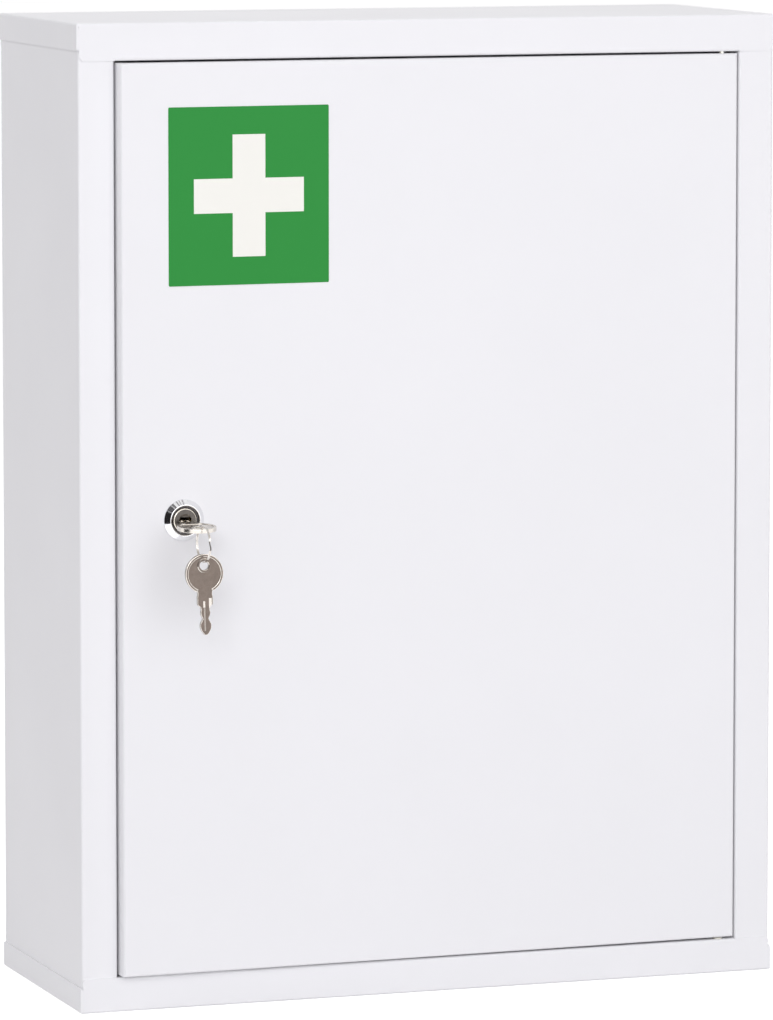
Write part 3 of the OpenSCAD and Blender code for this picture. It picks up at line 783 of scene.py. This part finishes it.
def make_lock_body():
    """Chrome bezel, a cone with a round rim, on a threaded barrel with two flats."""
    foot = arc((BEZEL_R - FOOT_SOFT, FOOT_H), FOOT_SOFT, 0, 45, 4)
    rim_middle = (RIM_R + GROOVE_R) / 2
    rim_soft = (RIM_R - GROOVE_R) / 2
    rim = arc((rim_middle, BEZEL_H - rim_soft), rim_soft, 45, 170, 8)
    profile = [(PLUG_HEAD_R + FIT, 0), (BEZEL_R - 0.1, 0), (BEZEL_R, 0.1), *foot, *rim,
               (GROOVE_R - 0.05, GROOVE_FLOOR + 0.15), (GROOVE_R - 0.2, GROOVE_FLOOR),
               (PLUG_HEAD_R + FIT, GROOVE_FLOOR), (PLUG_HEAD_R + FIT, 0)]
    bezel = turned("lock_bezel", profile)
    # the groove's floor and inner wall are painted dark as shade
    mark(bezel, "sunk", lambda face: face.center.z > (GROOVE_FLOOR - 0.1) * MM
         and face.center.xy.length < (GROOVE_R + 0.01) * MM)
    finish_piece(bezel, LOCK, "lock_body")

    barrel = thread("lock_barrel", BARREL_R - THREAD_DEPTH, BARREL_R, THREAD_PITCH,
                    BARREL_END, -SHEET / 2)
    flats = block("flats", (0, 0, BARREL_END / 2),
                  (2 * BARREL_HALF_FLAT, 3 * BARREL_R, -2 * BARREL_END))
    combine(barrel, flats, "INTERSECT")
    combine(barrel, drill("bore", PLUG_R + FIT, BARREL_END - 1, 1), "DIFFERENCE")
    finish_piece(barrel, LOCK, "lock_body")


def make_lock_nut():
    """Hexagon nut with chamfered corners on both faces."""
    low, high = box_in(LOCK, "lock_nut")
    corner = (high.x - low.x) / 2
    flats = (high.y - low.y) / 2
    nut = drill("lock_nut_turned", corner, low.z, high.z, sides=6)
    nut.data.transform(Matrix.Rotation(math.radians(30), 4, "Z"))
    ease = 0.9
    inner, outer = flats - 0.2, corner + 0.3
    cone = turned("nut_cone", [(0, low.z), (inner, low.z), (outer, low.z + ease),
                               (outer, high.z - ease), (inner, high.z), (0, high.z)])
    combine(nut, cone, "INTERSECT")
    combine(nut, drill("nut_bore", BARREL_R + 0.05, low.z - 1, high.z + 1), "DIFFERENCE")
    soften(nut, 0.12)
    finish_piece(nut, LOCK, "lock_nut")


KEYWAY = (5.7, 3.1, 12.4)        # width, height and depth
KEYWAY_RING_R = 2.9
KEYWAY_RING_DEPTH = 0.4
DRIVE = 7.0              # side of the plug's square end
WAFERS = 3
WAFER = 0.7              # thickness of a wafer
WAFER_SLOT = (5.2, 0.9)  # height and width of the slot for a wafer
SCREW_HOLE_R = 1.9


def make_lock_plug():
    """Turning plug: bevelled head with a sunk ring round the keyway, and a square end."""
    low, high = box_in(LOCK, "lock_plug")
    face_z = high.z
    shoulder = box_in(LOCK, "lock_cam")[1].z
    ring_floor = face_z - KEYWAY_RING_DEPTH
    profile = [(0, ring_floor), (KEYWAY_RING_R - 0.25, ring_floor),
               (KEYWAY_RING_R - 0.05, face_z - 0.28), (KEYWAY_RING_R, face_z - 0.15),
               (KEYWAY_RING_R + 0.15, face_z), (PLUG_HEAD_R - 0.75, face_z),
               (PLUG_HEAD_R - 0.62, face_z - 0.04), (PLUG_HEAD_R - 0.08, face_z - 0.58),
               (PLUG_HEAD_R, face_z - 0.72), (PLUG_HEAD_R, 0.2), (PLUG_R, 0.2),
               (PLUG_R, shoulder + 0.3), (PLUG_R - 0.3, shoulder), (0, shoulder)]
    plug = turned("lock_plug_turned", profile)
    end = block("drive", (0, 0, (low.z + shoulder) / 2 + 0.25),
                (DRIVE, DRIVE, shoulder - low.z + 0.5))
    combine(plug, end, "UNION")
    width, height, depth = KEYWAY
    way = block("keyway", (0, 0, face_z - depth / 2 + 0.5), (width, height, depth + 1))
    soften(way, 0.3)
    combine(plug, way, "DIFFERENCE")
    wafer_low, wafer_high = box_in(LOCK, "tumbler_wafers")
    pitch = (wafer_high.z - wafer_low.z - WAFER) / (WAFERS - 1)
    for i in range(WAFERS):
        middle = wafer_low.z + WAFER / 2 + i * pitch
        gap = block("wafer_slot", (0, 0, middle), (4 * PLUG_R, *WAFER_SLOT))
        combine(plug, gap, "DIFFERENCE")
    combine(plug, drill("cam_screw_hole", SCREW_HOLE_R, low.z - 1, low.z + 6), "DIFFERENCE")
    # bright bevels and keyway ring are wear and painted highlight; the rest is painted dark as shade and dark
    # reflection
    mark(plug, "wear_and_sheen", lambda face: face.center.z > (face_z - 0.75) * MM and (
        face.center.xy.length > (PLUG_HEAD_R - 0.8) * MM and abs(face.normal.z) < 0.97
        or KEYWAY_RING_R - 0.1 < face.center.xy.length / MM < KEYWAY_RING_R + 0.12))
    finish_piece(plug, LOCK, "lock_plug")


def cross_recess(name, width, breadth, low, high):
    """The cutter of a cross recess."""
    tool = block(name, (0, 0, (low + high) / 2), (width, breadth, high - low))
    combine(tool, block(name + "_arm", (0, 0, (low + high) / 2), (breadth, width, high - low)),
            "UNION")
    return tool


def make_cam():
    """Flat cam with a round eye and eased edges, and the screw that holds it."""
    low, high = box_in(LOCK, "lock_cam")
    eye = 9.0
    half = 6.0
    tip = low.y
    corner = 2.6
    join = -math.sqrt(eye ** 2 - half ** 2)
    side_angle = math.degrees(math.atan2(join, half))
    outline = [*arc((0, 0), eye, side_angle, 180 - side_angle),
               *arc((-half + corner, tip + corner), corner, 180, 270, 6),
               *arc((half - corner, tip + corner), corner, 270, 360, 6)]
    cam = plate("lock_cam_stamped", outline, low.z, high.z)
    hole = DRIVE / 2 + FIT
    combine(cam, block("cam_eye", (0, 0, (low.z + high.z) / 2), (2 * hole, 2 * hole, 6)),
            "DIFFERENCE")
    soften(cam, 0.25)
    finish_piece(cam, LOCK, "lock_cam")

    screw_low, screw_high = box_in(LOCK, "cam_screw")
    seat = low.z
    head = screw_low.z
    washer = 6.0
    profile = [(0, seat), (washer - 0.15, seat), (washer, seat - 0.15), (washer, seat - 0.75),
               (washer - 0.15, seat - 0.9), (3.8, seat - 0.9), (3.8, head + 1.0),
               (3.4, head + 0.45), (2.6, head + 0.12), (1.4, head), (0, head)]
    screw = turned("cam_screw_turned", profile)
    combine(screw, cross_recess("recess", 3.6, 0.8, head - 1, head + 1.1), "DIFFERENCE")
    combine(screw, thread("cam_screw_thread", 1.5, 1.85, 0.7, seat - 0.4, screw_high.z),
            "UNION")
    finish_piece(screw, LOCK, "cam_screw")


# ---- Keys and ring ----

SPARE_BOX = box_in(LOCK, "spare_key")
BOW_R = (SPARE_BOX[1].x - SPARE_BOX[0].x) / 2
BOW_HALF = 1.0           # half the thickness over the rim
FIELD_HALF = 0.64        # half the thickness inside the rim
NECK_HALF = 0.8
BLADE_HALF = 0.8
HOLE_AT = 3.8            # hole's centre over the bow's centre
HOLE_R = 2.2
BOSS_R = 3.3
RIM_W = 1.35
RIM_ENDS = (28, 21)      # where the rim ends, outside and inside, in degrees from straight down
NECK_W = 7.4
NECK_END = -15.3
KEY_REACH = 28.4
FIELD_LOW = -6.15        # where the sunk field steps up to the neck
MILLED = 0.35            # depth of the milled flats
MILLINGS = [
    # centre, width and length, depth: two flats at the neck and a groove down the blade
    ((-0.5, -14.2), (1.1, 3.0), MILLED),
    ((2.5, -13.8), (1.6, 4.8), MILLED),
    ((-0.4, -21.2), (0.7, 10.6), 0.18),
]
BLADE = [(2.3, -16.1), (2.05, -16.8), (2.3, -17.8), (2.25, -18.6), (2.0, -19.5), (1.55, -20.4),
         (1.55, -21.2), (2.2, -22.4), (2.6, -23.4), (2.65, -24.4), (2.5, -25.4), (2.0, -26.6),
         (1.3, -27.6), (0.6, -KEY_REACH)]


def flowing(points, steps=4):
    """Points of a smooth curve through the points given."""
    ends = [points[0], *points, points[-1]]
    path = []
    for a, b, c, d in zip(ends, ends[1:], ends[2:], ends[3:]):
        for i in range(steps):
            t = i / steps
            path.append(tuple(0.5 * (2 * q + (r - p) * t + (2 * p - 5 * q + 4 * r - u) * t * t
                                     + (3 * q - 3 * r + u - p) * t ** 3)
                              for p, q, r, u in zip(a, b, c, d)))
    return [*path, points[-1]]


def blade_outline():
    """Outline of the blade from the neck to the tip and back, with its cuts."""
    right = flowing(BLADE)
    left = [(-x, y) for x, y in reversed(right)]
    return [(2.3, NECK_END + 1), *right, *left, (-2.3, NECK_END + 1)]


def make_key():
    """One key on its back: the bow in X and Y, the blade down -Y, thickness along Z."""
    meet = math.degrees(math.asin(NECK_W / 2 / BOW_R))
    waist = 0.25
    body = [*arc((0, 0), BOW_R - 0.3, -90 + meet, 270 - meet),
            (-NECK_W / 2 + waist, -BOW_R - 0.5), (-NECK_W / 2, -BOW_R - 1.6),
            (-NECK_W / 2, NECK_END + 1.1), (-NECK_W / 2 + 1.1, NECK_END),
            (NECK_W / 2 - 1.1, NECK_END), (NECK_W / 2, NECK_END + 1.1),
            (NECK_W / 2, -BOW_R - 1.6), (NECK_W / 2 - waist, -BOW_R - 0.5)]
    key = plate("key", body, -NECK_HALF, NECK_HALF)
    soften(key, 0.18)

    # sunk field on both faces of the bow, down to the step at the neck
    field_r = BOW_R - RIM_W + 0.3
    edge = math.degrees(math.asin(FIELD_LOW / field_r))
    for side in (-1, 1):
        inner, outer = side * FIELD_HALF, side * (NECK_HALF + 1)
        field = plate("field", arc((0, 0), field_r, edge, 180 - edge),
                      min(inner, outer), max(inner, outer))
        combine(key, field, "DIFFERENCE")

    # raised round rim, open at the neck with slanted ends
    outside, inside = RIM_ENDS
    rim = plate("rim", [*arc((0, 0), BOW_R, outside - 90, 270 - outside),
                        *arc((0, 0), BOW_R - RIM_W, 270 - inside, inside - 90)],
                -BOW_HALF, BOW_HALF)
    soften(rim, 0.3, 3)
    combine(key, rim, "UNION")

    # raised boss round the hole
    boss = turned("boss", [(0, -BOW_HALF), (HOLE_R + 0.3, -BOW_HALF),
                           (BOSS_R - 0.25, -BOW_HALF), (BOSS_R, -BOW_HALF + 0.25),
                           (BOSS_R, BOW_HALF - 0.25),
                           (BOSS_R - 0.25, BOW_HALF), (HOLE_R + 0.3, BOW_HALF), (0, BOW_HALF)],
                  ARC_STEPS)
    boss.data.transform(shifted(0, HOLE_AT, 0))
    combine(key, boss, "UNION")

    blade = plate("blade", blade_outline(), -BLADE_HALF, BLADE_HALF)
    soften(blade, 0.22)
    combine(key, blade, "UNION")

    # hole with eased lips
    lip = HOLE_R + 0.22
    hole = turned("hole", [(0, -2), (lip + 0.6, -2), (lip, -BOW_HALF),
                           (HOLE_R, -BOW_HALF + 0.25), (HOLE_R, BOW_HALF - 0.25),
                           (lip, BOW_HALF), (lip + 0.6, 2), (0, 2)],
                  ARC_STEPS)
    hole.data.transform(shifted(0, HOLE_AT, 0))
    combine(key, hole, "DIFFERENCE")

    for side in (-1, 1):
        for at, size, depth in MILLINGS:
            tool = block("milled", (at[0] * side, at[1], side * (BLADE_HALF + 1 - depth)),
                         (*size, 2))
            combine(key, tool, "DIFFERENCE")
    return key


def mark_wear_and_sheen(key, walls, flats):
    """Paints a key bright at its eased edges and milled flats, and less on walls and flats: partly rubbed wear,
    partly painted highlight and painted reflection.
    """
    milled = (BLADE_HALF - MILLED + 0.02) * MM
    groove = (BLADE_HALF - 0.1) * MM

    def worth(face):
        up = abs(face.normal.z)
        if up < 0.2:
            return walls
        if up < 0.97:
            return 1.0
        if abs(face.center.z) < milled:
            return 0.7
        if abs(face.center.z) < groove and face.center.y < NECK_END * MM:
            return max(flats, 0.3)
        return flats
    mark(key, "wear_and_sheen", worth)


def make_keys():
    """The key in the lock, and its twin that hangs on the ring."""
    key = make_key()
    upright = Matrix.Rotation(math.radians(90), 4, "X")

    low, high = box_in(LOCK, "lock_key")
    along = (LOCK.to_3x3().inverted() @ Vector(joint("key_slide")["axis"])).normalized()
    droop = -math.asin(along.y)
    bow_z = high.z - BOW_R * math.cos(droop) - BOW_HALF * math.sin(droop)
    bow_y = low.y + BOW_R * math.sin(droop) + BOW_HALF * math.cos(droop)
    in_lock = LOCK @ shifted(0, bow_y, bow_z) @ Matrix.Rotation(droop, 4, "X") @ upright
    twin = copied(key, "lock_key_nickelled")
    # the key in the lock gets brighter faces than the spare key: a painted reflection of the light that it catches
    mark_wear_and_sheen(twin, walls=0.9, flats=0.6)
    finish_piece(twin, in_lock, "lock_key")

    low, high = SPARE_BOX
    bow = Vector((low.x + BOW_R, high.y - BOW_R, (low.z + high.z) / 2))
    hook = LOCK.inverted() @ Vector(joint("spare_key_swing")["pos_m"]) / MM
    tilt = math.atan2(bow.x - hook.x, hook.y - bow.y)
    hung = LOCK @ shifted(*bow) @ Matrix.Rotation(tilt, 4, "Z")
    # the spare key's flats stay dark: painted shade and dark reflection
    mark_wear_and_sheen(key, walls=0.35, flats=0.0)
    finish_piece(key, hung, "spare_key")
    key.name = "spare_key_nickelled"


WIRE_R = 0.29
COIL_GAP = 0.01          # half the daylight between the coils
CAD_WIRE_R = 0.3
RING_STEPS = 192         # steps of the wire over both coils
JOG = math.radians(13)   # half the angle over which the wire crosses from coil to coil
WIRE_END = 1.15 * JOG    # angle from the crossing to either cut end
SPLIT_SHADE_ANGLE = math.radians(13)    # how far from the cut ends the wire is painted dark as shade


def make_ring():
    """Split ring: two coils of wire side by side, whose cut ends lie where the wire crosses."""
    low, high = box_in(LOCK, "key_ring")
    centre = (low + high) / 2
    radius = (high.y - low.y) / 2 - CAD_WIRE_R
    axis = (LOCK.to_3x3().inverted() @ Vector(joint("key_ring_swing")["axis"])).normalized()
    turn = math.atan2(axis.x, axis.z)
    points = []
    for i in range(RING_STEPS + 1):
        angle = WIRE_END + (4 * math.pi - 2 * WIRE_END) * i / RING_STEPS
        across = max(-1.0, min(1.0, (angle - 2 * math.pi) / JOG))
        points.append((radius * math.cos(angle), radius * math.sin(angle),
                       (WIRE_R + COIL_GAP) * math.sin(across * math.pi / 2)))
    wire = bpy.data.curves.new("key_ring_wound", "CURVE")
    wire.dimensions = "3D"
    wire.bevel_depth = WIRE_R * MM
    wire.bevel_resolution = 4
    wire.use_fill_caps = True
    line = wire.splines.new("POLY")
    line.points.add(len(points) - 1)
    for point, (x, y, z) in zip(line.points, points):
        point.co = (x * MM, y * MM, z * MM, 1)
    ring = bpy.data.objects.new("key_ring_wound", wire)
    bpy.context.scene.collection.objects.link(ring)
    use(ring)
    bpy.ops.object.convert(target="MESH")
    ring = bpy.context.object
    edit(ring)
    bpy.ops.mesh.remove_doubles(threshold=MM / 1000)
    bpy.ops.mesh.normals_make_consistent(inside=False)
    leave_edit()
    # painted shade where the wire's ends were cut
    mark(ring, "wear_and_sheen", lambda face: abs(math.atan2(face.center.y, face.center.x)) > SPLIT_SHADE_ANGLE)
    # the ring's own X runs out of the door and its Y up
    stand = Matrix.Rotation(turn - math.pi / 2, 4, "Y")
    finish_piece(ring, LOCK @ shifted(*centre) @ stand, "key_ring")


# ---- Hinge, bumpers and screws ----

SMALL_STEPS = 48         # sides of a small turned piece
BUMPER_STEPS = 64
PIN_HEAD = 1.2           # height of a hinge pin's head
SCREW_TURN = 37          # each shelf screw stands turned by this much more, in degrees


def centre_of(node):
    """Middle of a CAD node's box, in millimetres."""
    low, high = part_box(node)
    return (low + high) / 2 / MM


def make_hinge():
    """Pins with domed heads, and the washer that the door turns on."""
    for node, up in (("upper_hinge_pin", 1), ("lower_hinge_pin", -1)):
        low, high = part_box(node)
        length = (high.z - low.z) / MM
        shank = length - PIN_HEAD
        profile = [(0, -shank), (1.2, -shank), (1.5, -shank + 0.3), (1.5, 0), (2.1, 0),
                   (2.1, 0.35), (1.9, 0.75), (1.35, 1.08), (0.7, PIN_HEAD), (0, PIN_HEAD)]
        pin = turned(node + "_turned", profile, SMALL_STEPS)
        if up < 0:
            pin.data.transform(Matrix.Rotation(math.pi, 4, "X"))
        middle = centre_of(node)
        seat = high.z / MM - PIN_HEAD if up > 0 else low.z / MM + PIN_HEAD
        finish_piece(pin, shifted(middle.x, middle.y, seat), node)

    low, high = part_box("hinge_washer")
    bottom, top = low.z / MM, high.z / MM
    outer, bore, ease = 2.6, 1.6, 0.15
    middle = centre_of("hinge_washer")
    washer = turned("hinge_washer_turned",
                    [(bore, bottom), (outer - ease, bottom), (outer, bottom + ease),
                     (outer, top - ease), (outer - ease, top), (bore + ease, top),
                     (bore, top - ease), (bore, bottom)], SMALL_STEPS)
    finish_piece(washer, shifted(middle.x, middle.y, 0), "hinge_washer")


def make_bumpers():
    """Domed rubber bumpers on the door stop."""
    low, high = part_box("door_bumpers")
    radius = (high.x - low.x) / 2 / MM
    height = (high.y - low.y) / MM
    profile = [(0, 0), (radius - 0.1, 0), (radius, 0.1), (radius - 0.15, height * 0.5),
               (radius - 0.45, height * 0.8), (radius - 1.1, height * 0.95),
               (radius - 2.2, height), (0, height)]
    for name, z in (("lower_bumper", low.z / MM + radius),
                    ("upper_bumper", high.z / MM - radius)):
        bumper = turned(name, profile, BUMPER_STEPS)
        place = turned_frame(Vector(((low.x + high.x) / 2, high.y, z * MM)), (0, -1, 0))
        finish_piece(bumper, place, "door_bumpers")


def make_shelf_screws():
    """Eight pan-head screws with a cross recess, modelled once."""
    head_r, head_h = 3.6, 1.6
    low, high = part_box("shelf_screws")
    profile = [(0, 0), (head_r - 0.2, 0), (head_r, 0.2), (head_r - 0.05, 0.6),
               (head_r - 0.45, 1.1), (head_r - 1.2, 1.45), (head_r - 2.2, head_h),
               (0, head_h)]
    screw = turned("shelf_screw", profile, SMALL_STEPS)
    combine(screw, cross_recess("recess", 3.4, 0.75, head_h - 1.0, head_h + 1), "DIFFERENCE")
    shank = thread("shelf_screw_thread", core=1.5, outer=1.88, pitch=0.7, low=-6.0, high=0.4)
    combine(screw, shank, "UNION")
    xs = (low.x / MM + head_r, high.x / MM - head_r)
    ys = (low.y / MM + head_r, high.y / MM - head_r)
    tops = (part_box("lower_shelf")[1].z / MM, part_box("upper_shelf")[1].z / MM)
    for i, (x, y, z) in enumerate((x, y, z) for z in tops for y in ys for x in xs):
        twin = copied(screw, f"shelf_screw_{i + 1}")
        place = shifted(x, y, z) @ Matrix.Rotation(math.radians(SCREW_TURN * i), 4, "Z")
        finish_piece(twin, place, "shelf_screws")
    bpy.data.objects.remove(screw)


bpy.context.scene.view_settings.view_transform = "Standard"
make_camera()
make_lights()
make_floor()
make_flags()
make_materials()
dress_cad_nodes()
soften_sheets()
make_lock_body()
make_lock_nut()
make_lock_plug()
make_cam()
make_keys()
make_ring()
make_hinge()
make_bumpers()
make_shelf_screws()
